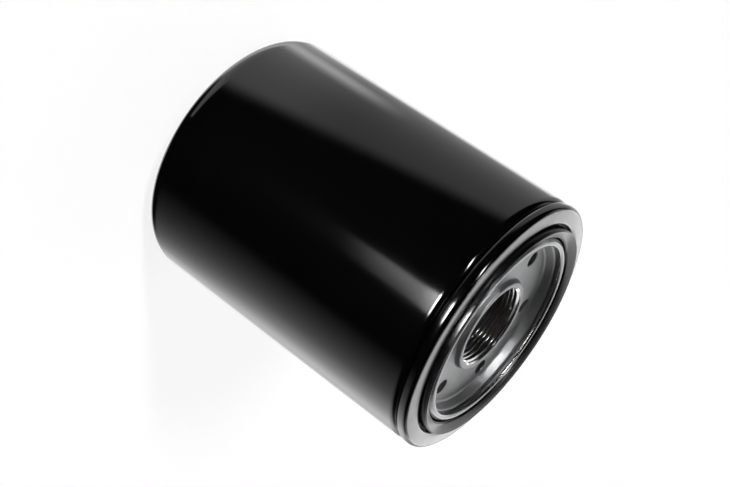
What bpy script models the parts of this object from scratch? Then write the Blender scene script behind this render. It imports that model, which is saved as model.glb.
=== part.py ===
"""Spin-on oil filter, standing on its closed end with the threaded end up.

The origin is the centre of the closed end's resting face, and +Z runs along the filter's axis
towards the threaded end. Lengths are in metres and angles in degrees.
"""

import math

import bmesh
import bpy
from mathutils import Vector

# Fits
GAP = 0.0003  # between pieces that touch on the real filter
SLIDING_GAP = 0.0004  # round pieces that slide

# Can, and the double seam that closes it
CAN_RADIUS = 0.0465
HEIGHT = 0.1183  # closed end to the top of the seam
CAN_WALL = 0.0006
DOME_FILLET = 0.0074
SHOULDER_FILLET = 0.0029
SEAM_INSET = 0.0002  # the seam's side, inside the can's
SEAM_HEIGHT = 0.0040
LID_WALL = 0.0007
SEALANT_WIDTH = 0.00145
FOLD_FILLET = 0.0006  # folds of the can's and the lid's edges, at mid wall
CHANNEL_EDGE_FILLET = 0.0015  # seam top to gasket channel, at mid wall

# Gasket and its channel
GASKET_WIDTH = 0.0041
GASKET_PROUD = 0.0021  # above the seam top
GASKET_CREST_INSET = 0.0011  # outside of the gasket to the middle of its sealing land
GASKET_LAND = 0.0007
CHANNEL_DEPTH = 0.0042
CHANNEL_CLEARANCE = 0.00035
LIP_PROUD = 0.0005
LIP_WIDTH = 0.0021  # between the mid walls of the lid's inner curl
LIP_DROP = 0.0014  # the curl's edge, below the seam top

# Thread plate
PLATE_DROP = 0.0048  # seam top to the plate's face
PLATE_THICKNESS = 0.0030
WALL_SHELF = 0.0005  # mid wall of the lid's curl to the crest of the plate's wall
WALL_RUN = 0.0013  # crest of the wall to the corner at the plate's face
FLANGE_INSET = 0.0012  # mid wall of the channel to the plate's edge
COLLAR_PROUD = 0.0022  # above the plate's face
COLLAR_CREST = 0.0157
COLLAR_FOOT = 0.0172
COLLAR_LENGTH = 0.0086  # crest to inner end
COLLAR_OUTER = 0.0180  # inside the can
THREAD_RADIUS = 0.0150  # M30
THREAD_PITCH = 0.0015
THREAD_DEPTH = 0.00081
THREAD_CREST = 0.00019  # width of the flat between grooves
THREAD_START = 4.5  # where the groove starts, round the axis
THREAD_OVERCUT = 0.00007  # the thread cutter reaches this far inside the bore
MOUTH_CHAMFER = 0.0005
INLET_HOLES = 6
INLET_RADIUS = 0.0027
INLET_PITCH_RADIUS = 0.0255
INLET_START = -2.0
INLET_CHAMFER = 0.0005

# Anti-drain-back valve
SLEEVE_WALL = 0.0018
SLEEVE_LAP = 0.0016  # each way past the joint of the collar and the element's neck
SKIRT_RADIUS = 0.0310
SKIRT_WALL = 0.0012
FLAP_TRAVEL = 0.0015

# Filter element
SPRING_ROOM = 0.0150  # closed end's inside to the element
CAP_WALL = 0.0006
OIL_SPACE = 0.0049  # can to element
CAP_RIM = 0.0040
CAP_FILLET = 0.0008
BOND_THICKNESS = 0.0012
MEDIA_MARGIN = 0.0012  # end cap's rim to the paper
MEDIA_WALL = 0.0007
PLEATS = 36
PLEAT_TIP = 0.0010
TUBE_OUTER = 0.0200
TUBE_CLEARANCE = 0.0012  # tube to the paper
TUBE_WALL = 0.0006
TUBE_HOLE_RADIUS = 0.0024
TUBE_HOLE_STEP = 0.0062
TUBE_HOLE_TURN = 67.5  # from one row of holes to the next
TUBE_MARGIN = 0.0060
CLIP_WALL = 0.0004
CLIP_REACH = 0.0050

# Bypass valve, inside the centre tube at the closed end
PORT_RADIUS = 0.0080
SEAL_LAP = 0.0025
SEAL_THICKNESS = 0.0012
POPPET_THICKNESS = 0.0012
STEM_RADIUS = 0.0015
STEM_STANDOUT = 0.0022
CAGE_WALL = 0.0007
CAGE_RADIUS = 0.0138
CAGE_HEIGHT = 0.0160
CAGE_WINDOWS = 4
WINDOW_WIDTH = 0.0090
BYPASS_WIRE = 0.0010
BYPASS_COIL_RADIUS = 0.0048
BYPASS_TURNS = 4.5

# Element spring and its seat
SPRING_WIRE = 0.0020
SPRING_BASE_RADIUS = 0.0240
SPRING_TOP_RADIUS = 0.0165
SPRING_TURNS = 2.75
SEAT_WALL = 0.0008
SEAT_HOLE = 0.0095
SEAT_RADIUS = 0.0195
SEAT_RIM = 0.0018

# Fineness
SEGMENTS = 32  # round the axis
ARC_STEPS = 2
COIL_STEPS = 12  # round one turn of a spring
HOLE_STEPS = 12
DOME_STEPS = 5  # round the closed end's fillet
TUBE_HOLE_STEPS = 8
WIRE_STEPS = 1
MERGE_DISTANCE = 0.00001
SHARP_ANGLE = 35.0  # between faces that meet in an edge

# Places that follow from the sizes
SEAM_INSIDE = HEIGHT - LID_WALL
SEAM_RADIUS = CAN_RADIUS - SEAM_INSET
SEAM_WALL_MID = SEAM_RADIUS - LID_WALL / 2
CAN_HOOK_MID = SEAM_WALL_MID - LID_WALL / 2 - GAP - CAN_WALL / 2
COVER_HOOK_MID = CAN_HOOK_MID - CAN_WALL / 2 - GAP - LID_WALL / 2
NECK_MID = COVER_HOOK_MID - LID_WALL / 2 - GAP - CAN_WALL / 2
SEALANT_OUTER = NECK_MID - CAN_WALL / 2 - GAP
SEALANT_INNER = SEALANT_OUTER - SEALANT_WIDTH
CAN_FLANGE_MID = SEAM_INSIDE - GAP - CAN_WALL / 2
SEAM_FOOT = HEIGHT - SEAM_HEIGHT
CHANNEL_FLOOR = HEIGHT - CHANNEL_DEPTH
CHANNEL_OUTER_MID = SEALANT_INNER - GAP - LID_WALL / 2
GASKET_OUTER = CHANNEL_OUTER_MID - LID_WALL / 2 - CHANNEL_CLEARANCE
GASKET_INNER = GASKET_OUTER - GASKET_WIDTH
GASKET_CREST = GASKET_OUTER - GASKET_CREST_INSET
CHANNEL_INNER_MID = GASKET_INNER - CHANNEL_CLEARANCE - LID_WALL / 2
LIP_INNER_MID = CHANNEL_INNER_MID - LIP_WIDTH
LIP_EDGE = HEIGHT - LIP_DROP
WALL_CREST = LIP_INNER_MID - WALL_SHELF
PLATE_CORNER = WALL_CREST - WALL_RUN
FLANGE_RADIUS = CHANNEL_OUTER_MID - FLANGE_INSET
PLATE_FACE = HEIGHT - PLATE_DROP
PLATE_BACK = PLATE_FACE - PLATE_THICKNESS
COLLAR_TOP = PLATE_FACE + COLLAR_PROUD
COLLAR_END = COLLAR_TOP - COLLAR_LENGTH
THREAD_MINOR = THREAD_RADIUS - THREAD_DEPTH
NECK_TOP = COLLAR_END - GAP
SLEEVE_INNER = COLLAR_OUTER + SLIDING_GAP
SLEEVE_OUTER = SLEEVE_INNER + SLEEVE_WALL
SLEEVE_TOP = COLLAR_END + SLEEVE_LAP
SLEEVE_FOOT = COLLAR_END - SLEEVE_LAP
SKIRT_TOP = PLATE_BACK - GAP
ELEMENT_FOOT = CAN_WALL + SPRING_ROOM
ELEMENT_TOP = SLEEVE_FOOT - FLAP_TRAVEL - GAP
ELEMENT_LENGTH = ELEMENT_TOP - ELEMENT_FOOT
NECK_LENGTH = NECK_TOP - ELEMENT_TOP
CAP_RADIUS = CAN_RADIUS - CAN_WALL - OIL_SPACE
MEDIA_OUTER = CAP_RADIUS - CAP_WALL - MEDIA_MARGIN
MEDIA_INNER = TUBE_OUTER + TUBE_CLEARANCE
BOND_FOOT = CAP_WALL + GAP
MEDIA_FOOT = BOND_FOOT + BOND_THICKNESS + GAP
MEDIA_TOP = ELEMENT_LENGTH - MEDIA_FOOT
MEDIA_LENGTH = MEDIA_TOP - MEDIA_FOOT
TUBE_INNER = TUBE_OUTER - TUBE_WALL
BOND_OUTER = CAP_RADIUS - CAP_WALL - GAP
BOND_INNER = TUBE_INNER - GAP
SEAL_FOOT = CAP_WALL + GAP
POPPET_FOOT = SEAL_THICKNESS + GAP
SEAL_RADIUS = PORT_RADIUS + SEAL_LAP
CAGE_FOOT = CAP_WALL + GAP
CAGE_TOP = CAGE_FOOT + CAGE_HEIGHT

FINISHES = {
    "gloss black paint": ((0.010, 0.010, 0.011), 0.18, 0.0),
    "bare steel": ((0.46, 0.46, 0.47), 0.34, 1.0),
    "plated steel": ((0.40, 0.41, 0.42), 0.30, 1.0),
    "spring steel": ((0.22, 0.22, 0.23), 0.32, 1.0),
    "gasket rubber": ((0.012, 0.012, 0.013), 0.34, 0.0),
    "valve rubber": ((0.030, 0.030, 0.032), 0.50, 0.0),
    "filter paper": ((0.70, 0.52, 0.24), 0.85, 0.0),
    "plastisol": ((0.62, 0.27, 0.14), 0.55, 0.0),
    "sealing compound": ((0.10, 0.10, 0.11), 0.60, 0.0),
}


def clear_scene():
    for obj in list(bpy.data.objects):
        bpy.data.objects.remove(obj, do_unlink=True)


def make_collection(name, cutters=False):
    collection = bpy.data.collections.new(name)
    collection.hide_render = cutters
    bpy.context.scene.collection.children.link(collection)
    return collection


def make_material(name):
    colour, roughness, metallic = FINISHES[name]
    material = bpy.data.materials.new(name)
    material.use_nodes = True
    shader = material.node_tree.nodes["Principled BSDF"]
    shader.inputs["Base Color"].default_value = (*colour, 1.0)
    shader.inputs["Roughness"].default_value = roughness
    shader.inputs["Metallic"].default_value = metallic
    material.diffuse_color = (*colour, 1.0)
    return material


def rounded(corners, steps=ARC_STEPS, closed=False):
    """Points of an outline whose corners are (x, z) or (x, z, fillet), with an arc at each fillet.

    A fillet is no longer than half of the shorter side beside it.
    """
    points = []
    for index, corner in enumerate(corners):
        here = Vector(corner[:2])
        inner = closed or 0 < index < len(corners) - 1
        if len(corner) < 3 or not inner:
            points.append(here)
            continue
        before = Vector(corners[index - 1][:2]) - here
        after = Vector(corners[(index + 1) % len(corners)][:2]) - here
        half = before.angle(after) / 2
        room = min(before.length, after.length) / 2
        reach = min(corner[2] / math.tan(half), room)
        before.normalize()
        after.normalize()
        centre = here + (before + after).normalized() * reach / math.cos(half)
        first = (here + before * reach - centre).normalized()
        last = (here + after * reach - centre).normalized()
        radius = reach * math.tan(half)
        points += [centre + first.slerp(last, step / steps) * radius for step in range(steps + 1)]
    return points


class Builder:
    """Makes the filter's pieces and the cutters that shape them."""

    def __init__(self):
        self.parts = make_collection("oil_filter")
        self.cutters = make_collection("cutters", cutters=True)
        self.materials = {name: make_material(name) for name in FINISHES}

    def frame(self, name, height=0.0, parent=None):
        """An empty on the filter's axis, at a height above its parent."""
        empty = bpy.data.objects.new(name, None)
        empty.empty_display_size = CAN_RADIUS / 4
        empty.parent = parent
        empty.location.z = height
        self.parts.objects.link(empty)
        return empty

    def piece(self, name, data, parent, finish):
        obj = bpy.data.objects.new(name, data)
        obj.parent = parent
        data.materials.append(self.materials[finish])
        self.parts.objects.link(obj)
        return obj

    def cutter(self, name, data, parent=None):
        obj = bpy.data.objects.new(name, data)
        obj.parent = parent
        obj.hide_render = True
        obj.display_type = "WIRE"
        self.cutters.objects.link(obj)
        return obj

    def turned(self, name, points, parent, finish, segments=SEGMENTS):
        """A solid turned from a closed outline that runs down its outer side."""
        obj = self.piece(name, outline_mesh(name, points, closed=True), parent, finish)
        add_turn(obj, segments)
        return obj

    def sheet(self, name, points, wall, parent, finish, segments=SEGMENTS):
        """A sheet-metal piece turned from the line of its mid wall."""
        obj = self.piece(name, outline_mesh(name, points, closed=False), parent, finish)
        add_turn(obj, segments)
        add_wall(obj, wall)
        return obj

    def coil(self, name, wire, radii, heights, turns, parent, finish):
        """A spring of round wire whose radius and height go evenly from the first to the second."""
        curve = bpy.data.curves.new(name, "CURVE")
        curve.dimensions = "3D"
        curve.bevel_depth = wire / 2
        curve.bevel_resolution = WIRE_STEPS
        curve.use_fill_caps = True
        count = round(turns * COIL_STEPS) + 1
        spline = curve.splines.new("POLY")
        spline.points.add(count - 1)
        for index, point in enumerate(spline.points):
            share = index / (count - 1)
            angle = 2 * math.pi * index / COIL_STEPS
            radius = radii[0] + share * (radii[1] - radii[0])
            height = heights[0] + share * (heights[1] - heights[0])
            point.co = (radius * math.cos(angle), radius * math.sin(angle), height, 1.0)
        return self.piece(name, curve, parent, finish)


def ring_outline(inner, outer, foot, top):
    """The outline of a ring with a square section."""
    return [Vector(corner) for corner in ((inner, top), (outer, top), (outer, foot), (inner, foot))]


def outline_mesh(name, points, closed):
    mesh = bpy.data.meshes.new(name)
    edges = [(index, index + 1) for index in range(len(points) - 1)]
    if closed:
        edges.append((len(points) - 1, 0))
    mesh.from_pydata([(x, 0.0, z) for x, z in points], edges, [])
    return mesh


def add_turn(obj, segments):
    turn = obj.modifiers.new("turn", "SCREW")
    turn.axis = "Z"
    turn.angle = math.tau
    turn.steps = segments
    turn.render_steps = segments
    turn.use_merge_vertices = True
    turn.merge_threshold = MERGE_DISTANCE
    turn.use_smooth_shade = True


def add_wall(obj, wall):
    solidify = obj.modifiers.new("wall", "SOLIDIFY")
    solidify.thickness = wall
    solidify.offset = 0.0
    solidify.use_even_offset = True


def add_cut(obj, cutter):
    cut = obj.modifiers.new(cutter.name, "BOOLEAN")
    cut.operation = "DIFFERENCE"
    cut.object = cutter


def drill_mesh(name, radius, depth, steps):
    """A cylinder round its own Z axis, centred on its origin."""
    body = bmesh.new()
    bmesh.ops.create_cone(
        body, cap_ends=True, segments=steps, radius1=radius, radius2=radius, depth=depth
    )
    mesh = bpy.data.meshes.new(name)
    body.to_mesh(mesh)
    body.free()
    return mesh


def around(index, count, start=0.0):
    """The angle of one of several pieces that are spaced evenly round the axis."""
    return math.radians(start) + math.tau * index / count


def make_can(build, housing):
    """The deep-drawn can, up to the edge that is hooked into the seam."""
    wall_mid = CAN_RADIUS - CAN_WALL / 2
    shoulder_mid = SEAM_FOOT - GAP - CAN_WALL / 2
    dome = rounded(
        [
            (0.0, CAN_WALL / 2),
            (wall_mid, CAN_WALL / 2, DOME_FILLET - CAN_WALL / 2),
            (wall_mid, HEIGHT / 2),
        ],
        DOME_STEPS,
    )
    seam = rounded(
        [
            (wall_mid, HEIGHT / 2),
            (wall_mid, shoulder_mid, SHOULDER_FILLET - CAN_WALL / 2),
            (NECK_MID, shoulder_mid, FOLD_FILLET),
            (NECK_MID, CAN_FLANGE_MID, FOLD_FILLET),
            (CAN_HOOK_MID, CAN_FLANGE_MID, FOLD_FILLET),
            (CAN_HOOK_MID, SEAM_FOOT + LID_WALL + GAP),
        ]
    )
    build.sheet("can_shell", dome[:-1] + seam[1:], CAN_WALL, housing, "gloss black paint")


def make_lid(build, housing):
    """The seaming lid: inner curl, gasket channel, seam top and the hook under the can's edge."""
    top_mid = HEIGHT - LID_WALL / 2
    floor_mid = CHANNEL_FLOOR - LID_WALL / 2
    curl_mid = HEIGHT + LIP_PROUD - LID_WALL / 2
    foot_mid = SEAM_FOOT + LID_WALL / 2
    hook_end = CAN_FLANGE_MID - CAN_WALL / 2 - GAP
    path = rounded(
        [
            (LIP_INNER_MID, LIP_EDGE),
            (LIP_INNER_MID, curl_mid, LIP_WIDTH / 2),
            (CHANNEL_INNER_MID, curl_mid, LIP_WIDTH / 2),
            (CHANNEL_INNER_MID, floor_mid, FOLD_FILLET),
            (CHANNEL_OUTER_MID, floor_mid, FOLD_FILLET),
            (CHANNEL_OUTER_MID, top_mid, CHANNEL_EDGE_FILLET),
            (SEAM_WALL_MID, top_mid, FOLD_FILLET),
            (SEAM_WALL_MID, foot_mid, FOLD_FILLET),
            (COVER_HOOK_MID, foot_mid, FOLD_FILLET),
            (COVER_HOOK_MID, hook_end),
        ]
    )
    build.sheet("seaming_lid", path, LID_WALL, housing, "bare steel")


def make_sealant(build, housing):
    """The ring of compound between the lid and the can's neck."""
    top = SEAM_INSIDE - CHANNEL_EDGE_FILLET
    ring = ring_outline(SEALANT_INNER, SEALANT_OUTER, CHANNEL_FLOOR, top)
    build.turned("seam_sealant", ring, housing, "sealing compound")


def make_gasket(build, housing):
    """The sealing gasket, with a round top and a narrow flat land at its crest."""
    foot = CHANNEL_FLOOR + GAP
    crest = HEIGHT + GASKET_PROUD
    land_inner = GASKET_CREST - GASKET_LAND / 2
    land_outer = GASKET_CREST + GASKET_LAND / 2
    outer_rise = GASKET_OUTER - land_outer
    inner_run = land_inner - GASKET_INNER
    points = [Vector((land_inner, crest)), Vector((land_outer, crest))]
    points += rounded(
        [
            (land_outer, crest),
            (GASKET_OUTER, crest - outer_rise / 4, outer_rise),
            (GASKET_OUTER, foot, FOLD_FILLET),
            (GASKET_INNER, foot, FOLD_FILLET),
            (GASKET_INNER, crest - inner_run / 2, inner_run / 2),
            (land_inner, crest),
        ]
    )[1:-1]
    build.turned("sealing_gasket", points, housing, "gasket rubber")


def thread_cutter(build):
    """The groove of a right-hand internal thread, running out at both ends of the collar."""
    turns = math.ceil(COLLAR_LENGTH / THREAD_PITCH) + 1
    start = COLLAR_END - THREAD_PITCH / 2
    cutter_inner = THREAD_MINOR - THREAD_OVERCUT
    half_mouth = (THREAD_PITCH - THREAD_CREST) / 2 * (1 + THREAD_OVERCUT / THREAD_DEPTH)
    corners = [
        (cutter_inner, start - half_mouth),
        (THREAD_RADIUS, start),
        (cutter_inner, start + half_mouth),
    ]
    groove = bmesh.new()
    verts = [groove.verts.new((x, 0.0, z)) for x, z in corners]
    edges = [groove.edges.new((a, b)) for a, b in zip(verts, verts[1:] + verts[:1])]
    bmesh.ops.spin(
        groove,
        geom=verts + edges,
        cent=(0.0, 0.0, 0.0),
        axis=(0.0, 0.0, 1.0),
        dvec=(0.0, 0.0, THREAD_PITCH / SEGMENTS),
        angle=math.tau * turns,
        steps=SEGMENTS * turns,
    )
    bmesh.ops.holes_fill(groove, edges=groove.edges, sides=0)
    bmesh.ops.recalc_face_normals(groove, faces=groove.faces)
    mesh = bpy.data.meshes.new("thread_cutter")
    groove.to_mesh(mesh)
    groove.free()
    cutter = build.cutter("thread_cutter", mesh)
    cutter.rotation_euler.z = math.radians(THREAD_START)
    return cutter


def inlet_cutter(build, index):
    """One inlet hole with a chamfer at the plate's face."""
    angle = around(index, INLET_HOLES, INLET_START)
    over = PLATE_THICKNESS / 2
    points = [
        Vector((0.0, PLATE_FACE + over)),
        Vector((INLET_RADIUS + INLET_CHAMFER + over, PLATE_FACE + over)),
        Vector((INLET_RADIUS, PLATE_FACE - INLET_CHAMFER)),
        Vector((INLET_RADIUS, PLATE_BACK - over)),
        Vector((0.0, PLATE_BACK - over)),
    ]
    name = f"inlet_cutter_{index + 1}"
    cutter = build.cutter(name, outline_mesh(name, points, closed=False))
    cutter.location = (
        INLET_PITCH_RADIUS * math.cos(angle),
        INLET_PITCH_RADIUS * math.sin(angle),
        0.0,
    )
    add_turn(cutter, HOLE_STEPS)
    return cutter


def make_base_plate(build, housing):
    """The thread plate: threaded collar, inlet holes, and a rim that stands up in the lid's curl."""
    rim_inner = LIP_INNER_MID + LID_WALL / 2 + GAP
    rim_outer = CHANNEL_INNER_MID - LID_WALL / 2 - GAP
    rim_top = HEIGHT + LIP_PROUD - LID_WALL - GAP
    flange_top = CHANNEL_FLOOR - LID_WALL - GAP
    wall_top = LIP_EDGE - GAP
    corners = [
        (rim_inner, rim_top),
        (rim_outer, rim_top),
        (rim_outer, flange_top),
        (FLANGE_RADIUS, flange_top),
        (FLANGE_RADIUS, PLATE_BACK),
        (COLLAR_OUTER, PLATE_BACK, FOLD_FILLET),
        (COLLAR_OUTER, COLLAR_END),
        (THREAD_MINOR + MOUTH_CHAMFER, COLLAR_END),
        (THREAD_MINOR, COLLAR_END + MOUTH_CHAMFER),
        (THREAD_MINOR, COLLAR_TOP - 2 * MOUTH_CHAMFER),
        (THREAD_MINOR + MOUTH_CHAMFER, COLLAR_TOP - MOUTH_CHAMFER),
        (COLLAR_CREST - MOUTH_CHAMFER, COLLAR_TOP, MOUTH_CHAMFER),
        (COLLAR_FOOT - MOUTH_CHAMFER, COLLAR_TOP, COLLAR_PROUD / 3),
        (COLLAR_FOOT, PLATE_FACE, COLLAR_PROUD / 3),
        (PLATE_CORNER, PLATE_FACE, (wall_top - PLATE_FACE) / 3),
        (WALL_CREST, wall_top, (wall_top - PLATE_FACE) / 3),
        (rim_inner, wall_top),
    ]
    points = rounded(corners, closed=True)
    plate = build.turned("base_plate", points, housing, "plated steel")
    for index in range(INLET_HOLES):
        add_cut(plate, inlet_cutter(build, index))
    add_cut(plate, thread_cutter(build))


def make_drainback_valve(build, valve):
    """The rubber anti-drain-back valve: a sleeve round the collar, and a skirt up to the plate."""
    lip = 2 * SKIRT_WALL
    points = [
        Vector(point)
        for point in (
            (SLEEVE_INNER, SLEEVE_TOP),
            (SLEEVE_OUTER, SLEEVE_TOP),
            (SKIRT_RADIUS - lip, SKIRT_TOP - SKIRT_WALL / 2),
            (SKIRT_RADIUS - lip / 2, SKIRT_TOP),
            (SKIRT_RADIUS, SKIRT_TOP),
            (SKIRT_RADIUS, SKIRT_TOP - SKIRT_WALL),
            (SKIRT_RADIUS - lip, SKIRT_TOP - 1.5 * SKIRT_WALL),
            (SLEEVE_OUTER, SLEEVE_TOP - 1.5 * SKIRT_WALL),
            (SLEEVE_OUTER, SLEEVE_FOOT),
            (SLEEVE_INNER, SLEEVE_FOOT),
        )
    ]
    for point in points:
        point.y -= COLLAR_END
    build.turned("anti_drainback_valve", points, valve, "valve rubber")


def make_end_caps(build, element):
    """The steel end caps. Heights are above the element's foot."""
    rim_mid = CAP_RADIUS - CAP_WALL / 2
    neck_mid = COLLAR_OUTER - CAP_WALL / 2
    top_mid = ELEMENT_LENGTH - CAP_WALL / 2
    foot_mid = CAP_WALL / 2
    upper = rounded(
        [
            (neck_mid, ELEMENT_LENGTH + NECK_LENGTH),
            (neck_mid, top_mid, CAP_FILLET),
            (rim_mid, top_mid, CAP_FILLET),
            (rim_mid, ELEMENT_LENGTH - CAP_RIM),
        ]
    )
    build.sheet("upper_end_cap", upper, CAP_WALL, element, "plated steel")
    lower = rounded(
        [(PORT_RADIUS, foot_mid), (rim_mid, foot_mid, CAP_FILLET), (rim_mid, CAP_RIM)]
    )
    build.sheet("lower_end_cap", lower, CAP_WALL, element, "plated steel")


def make_bonds(build, element):
    """The rings of plastisol that hold the paper and the tube in the end caps."""
    feet = {
        "upper_bond": ELEMENT_LENGTH - BOND_FOOT - BOND_THICKNESS,
        "lower_bond": BOND_FOOT,
    }
    for name, foot in feet.items():
        ring = ring_outline(BOND_INNER, BOND_OUTER, foot, foot + BOND_THICKNESS)
        build.turned(name, ring, element, "plastisol")


def make_tube(build, element):
    """The perforated centre tube. Each round cutter makes two holes, opposite each other."""
    tube_mid = TUBE_OUTER - TUBE_WALL / 2
    line = [Vector((tube_mid, MEDIA_TOP)), Vector((tube_mid, MEDIA_FOOT))]
    tube = build.sheet("centre_tube", line, TUBE_WALL, element, "plated steel")
    levels = int((MEDIA_LENGTH - 2 * TUBE_MARGIN) / TUBE_HOLE_STEP) + 1
    drill = drill_mesh("tube_hole_cutter", TUBE_HOLE_RADIUS, 3 * TUBE_OUTER, TUBE_HOLE_STEPS)
    spread = (levels - 1) * TUBE_HOLE_STEP
    lowest = (MEDIA_FOOT + MEDIA_TOP - spread) / 2
    for level in range(levels):
        cutter = build.cutter(f"tube_hole_cutter_{level + 1}", drill, element)
        cutter.rotation_euler = (math.pi / 2, 0.0, math.radians(TUBE_HOLE_TURN) * level)
        cutter.location.z = lowest + level * TUBE_HOLE_STEP
        add_cut(tube, cutter)


def make_media(build, element):
    """The pleated filter paper, and the steel clip that closes its last pleat."""
    wall_inner = MEDIA_INNER + MEDIA_WALL / 2
    wall_outer = MEDIA_OUTER - MEDIA_WALL / 2
    points = []
    for pleat in range(PLEATS):
        angle = around(pleat, PLEATS)
        half = math.pi / PLEATS
        for radius, middle in ((wall_outer, angle), (wall_inner, angle + half)):
            tip = PLEAT_TIP / 2 / radius
            points += [
                (radius * math.cos(side), radius * math.sin(side))
                for side in (middle - tip, middle + tip)
            ]
    count = len(points)
    lower = [(x, y, 0.0) for x, y in points]
    upper = [(x, y, MEDIA_LENGTH) for x, y in points]
    faces = [
        (index, (index + 1) % count, (index + 1) % count + count, index + count)
        for index in range(count)
    ]
    mesh = bpy.data.meshes.new("pleated_media")
    mesh.from_pydata(lower + upper, [], faces)
    media = build.piece("pleated_media", mesh, element, "filter paper")
    media.location.z = MEDIA_FOOT
    add_wall(media, MEDIA_WALL)


def make_clip(build, element):
    """The folded steel strip over the pleat that joins the two ends of the paper."""
    half = PLEAT_TIP / 2 + MEDIA_WALL + GAP + CLIP_WALL / 2
    root = MEDIA_OUTER + GAP + CLIP_WALL / 2
    line = [(root - CLIP_REACH, half), (root, half), (root, -half), (root - CLIP_REACH, -half)]
    top = MEDIA_LENGTH - CAP_RIM
    points = [(x, y, z) for z in (CAP_RIM, top) for x, y in line]
    faces = [(index, index + 1, index + 5, index + 4) for index in range(3)]
    mesh = bpy.data.meshes.new("media_seam_clip")
    mesh.from_pydata(points, [], faces)
    clip = build.piece("media_seam_clip", mesh, element, "plated steel")
    clip.location.z = MEDIA_FOOT
    add_wall(clip, CLIP_WALL)


def make_bypass_cage(build, element):
    """The cage that guides the bypass valve's stem and holds its spring."""
    wall_mid = CAGE_RADIUS - CAGE_WALL / 2
    foot_mid = CAGE_FOOT + CAGE_WALL / 2
    top_mid = CAGE_TOP - CAGE_WALL / 2
    path = rounded(
        [
            (STEM_RADIUS + SLIDING_GAP, top_mid),
            (wall_mid, top_mid, CAP_FILLET),
            (wall_mid, foot_mid, CAP_FILLET),
            (TUBE_INNER - GAP, foot_mid),
        ]
    )
    cage = build.sheet("bypass_valve_cage", path, CAGE_WALL, element, "plated steel")
    low = CAGE_FOOT + 3 * CAGE_WALL
    height = CAGE_TOP - 2 * CAGE_WALL - low
    for index in range(CAGE_WINDOWS // 2):
        box = bmesh.new()
        bmesh.ops.create_cube(box, size=1.0)
        bmesh.ops.scale(box, vec=(4 * CAGE_RADIUS, WINDOW_WIDTH, height), verts=box.verts)
        name = f"window_cutter_{index + 1}"
        mesh = bpy.data.meshes.new(name)
        box.to_mesh(mesh)
        box.free()
        cutter = build.cutter(name, mesh, element)
        cutter.rotation_euler.z = around(index, CAGE_WINDOWS)
        cutter.location.z = low + height / 2
        add_cut(cage, cutter)


def make_poppet(build, poppet):
    """The bypass valve's disc with its stem, and the rubber seal on its underside."""
    disc_top = POPPET_FOOT + POPPET_THICKNESS
    stem_top = CAGE_TOP - SEAL_FOOT + STEM_STANDOUT
    disc = [
        Vector((0.0, stem_top)),
        Vector((STEM_RADIUS, stem_top)),
        Vector((STEM_RADIUS, disc_top)),
        Vector((SEAL_RADIUS, disc_top)),
        Vector((SEAL_RADIUS, POPPET_FOOT)),
        Vector((0.0, POPPET_FOOT)),
    ]
    mesh = outline_mesh("bypass_valve_disc", disc, closed=False)
    valve = build.piece("bypass_valve_disc", mesh, poppet, "plated steel")
    add_turn(valve, SEGMENTS)
    seal = ring_outline(PORT_RADIUS - SEAL_LAP, SEAL_RADIUS, 0.0, SEAL_THICKNESS)
    build.turned("bypass_valve_seal", seal, poppet, "valve rubber")


def make_bypass_spring(build, element):
    disc_top = SEAL_FOOT + POPPET_FOOT + POPPET_THICKNESS
    low = disc_top + GAP + BYPASS_WIRE / 2
    high = CAGE_TOP - CAGE_WALL - GAP - BYPASS_WIRE / 2
    radii = (BYPASS_COIL_RADIUS, BYPASS_COIL_RADIUS)
    build.coil(
        "bypass_spring", BYPASS_WIRE, radii, (low, high), BYPASS_TURNS, element, "spring steel"
    )


def make_element_spring(build, housing, element):
    """The conical spring that presses the element up, and the dished washer it bears on."""
    seat_top_mid = -GAP - SEAT_WALL / 2
    seat = rounded(
        [
            (SEAT_HOLE, seat_top_mid),
            (SEAT_RADIUS, seat_top_mid, CAP_FILLET),
            (SEAT_RADIUS, seat_top_mid - SEAT_RIM),
        ]
    )
    build.sheet("element_spring_seat", seat, SEAT_WALL, element, "spring steel")
    low = CAN_WALL + GAP + SPRING_WIRE / 2
    high = ELEMENT_FOOT - 2 * GAP - SEAT_WALL - SPRING_WIRE / 2
    radii = (SPRING_BASE_RADIUS, SPRING_TOP_RADIUS)
    build.coil(
        "element_spring", SPRING_WIRE, radii, (low, high), SPRING_TURNS, housing, "spring steel"
    )


def shade_round(build):
    """Smooth shading, with sharp edges kept where faces meet at a larger angle."""
    for obj in build.parts.objects:
        if obj.type == "MESH":
            obj.data.shade_smooth()
            obj.data.set_sharp_from_angle(angle=math.radians(SHARP_ANGLE))


def main():
    clear_scene()
    build = Builder()
    housing = build.frame("housing")
    valve = build.frame("drainback_valve", COLLAR_END, housing)
    element = build.frame("element", ELEMENT_FOOT, housing)
    poppet = build.frame("bypass_poppet", SEAL_FOOT, element)
    make_can(build, housing)
    make_lid(build, housing)
    make_sealant(build, housing)
    make_gasket(build, housing)
    make_base_plate(build, housing)
    make_drainback_valve(build, valve)
    make_end_caps(build, element)
    make_bonds(build, element)
    make_tube(build, element)
    make_media(build, element)
    make_clip(build, element)
    make_bypass_cage(build, element)
    make_poppet(build, poppet)
    make_bypass_spring(build, element)
    make_element_spring(build, housing, element)
    shade_round(build)


main()
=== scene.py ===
"""Visual model of a spin-on oil filter that stands on its closed end, with its threaded end up.

Lengths are in metres. Angles are in degrees where a name or a docstring says so, and in radians
elsewhere. The Z axis is the filter's own.
"""

import sys
import logging
import math
from collections.abc import Iterable, Sequence
from dataclasses import dataclass, field
from enum import Enum
from typing import Any

import bmesh
import bpy
from mathutils import Matrix, Vector


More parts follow.
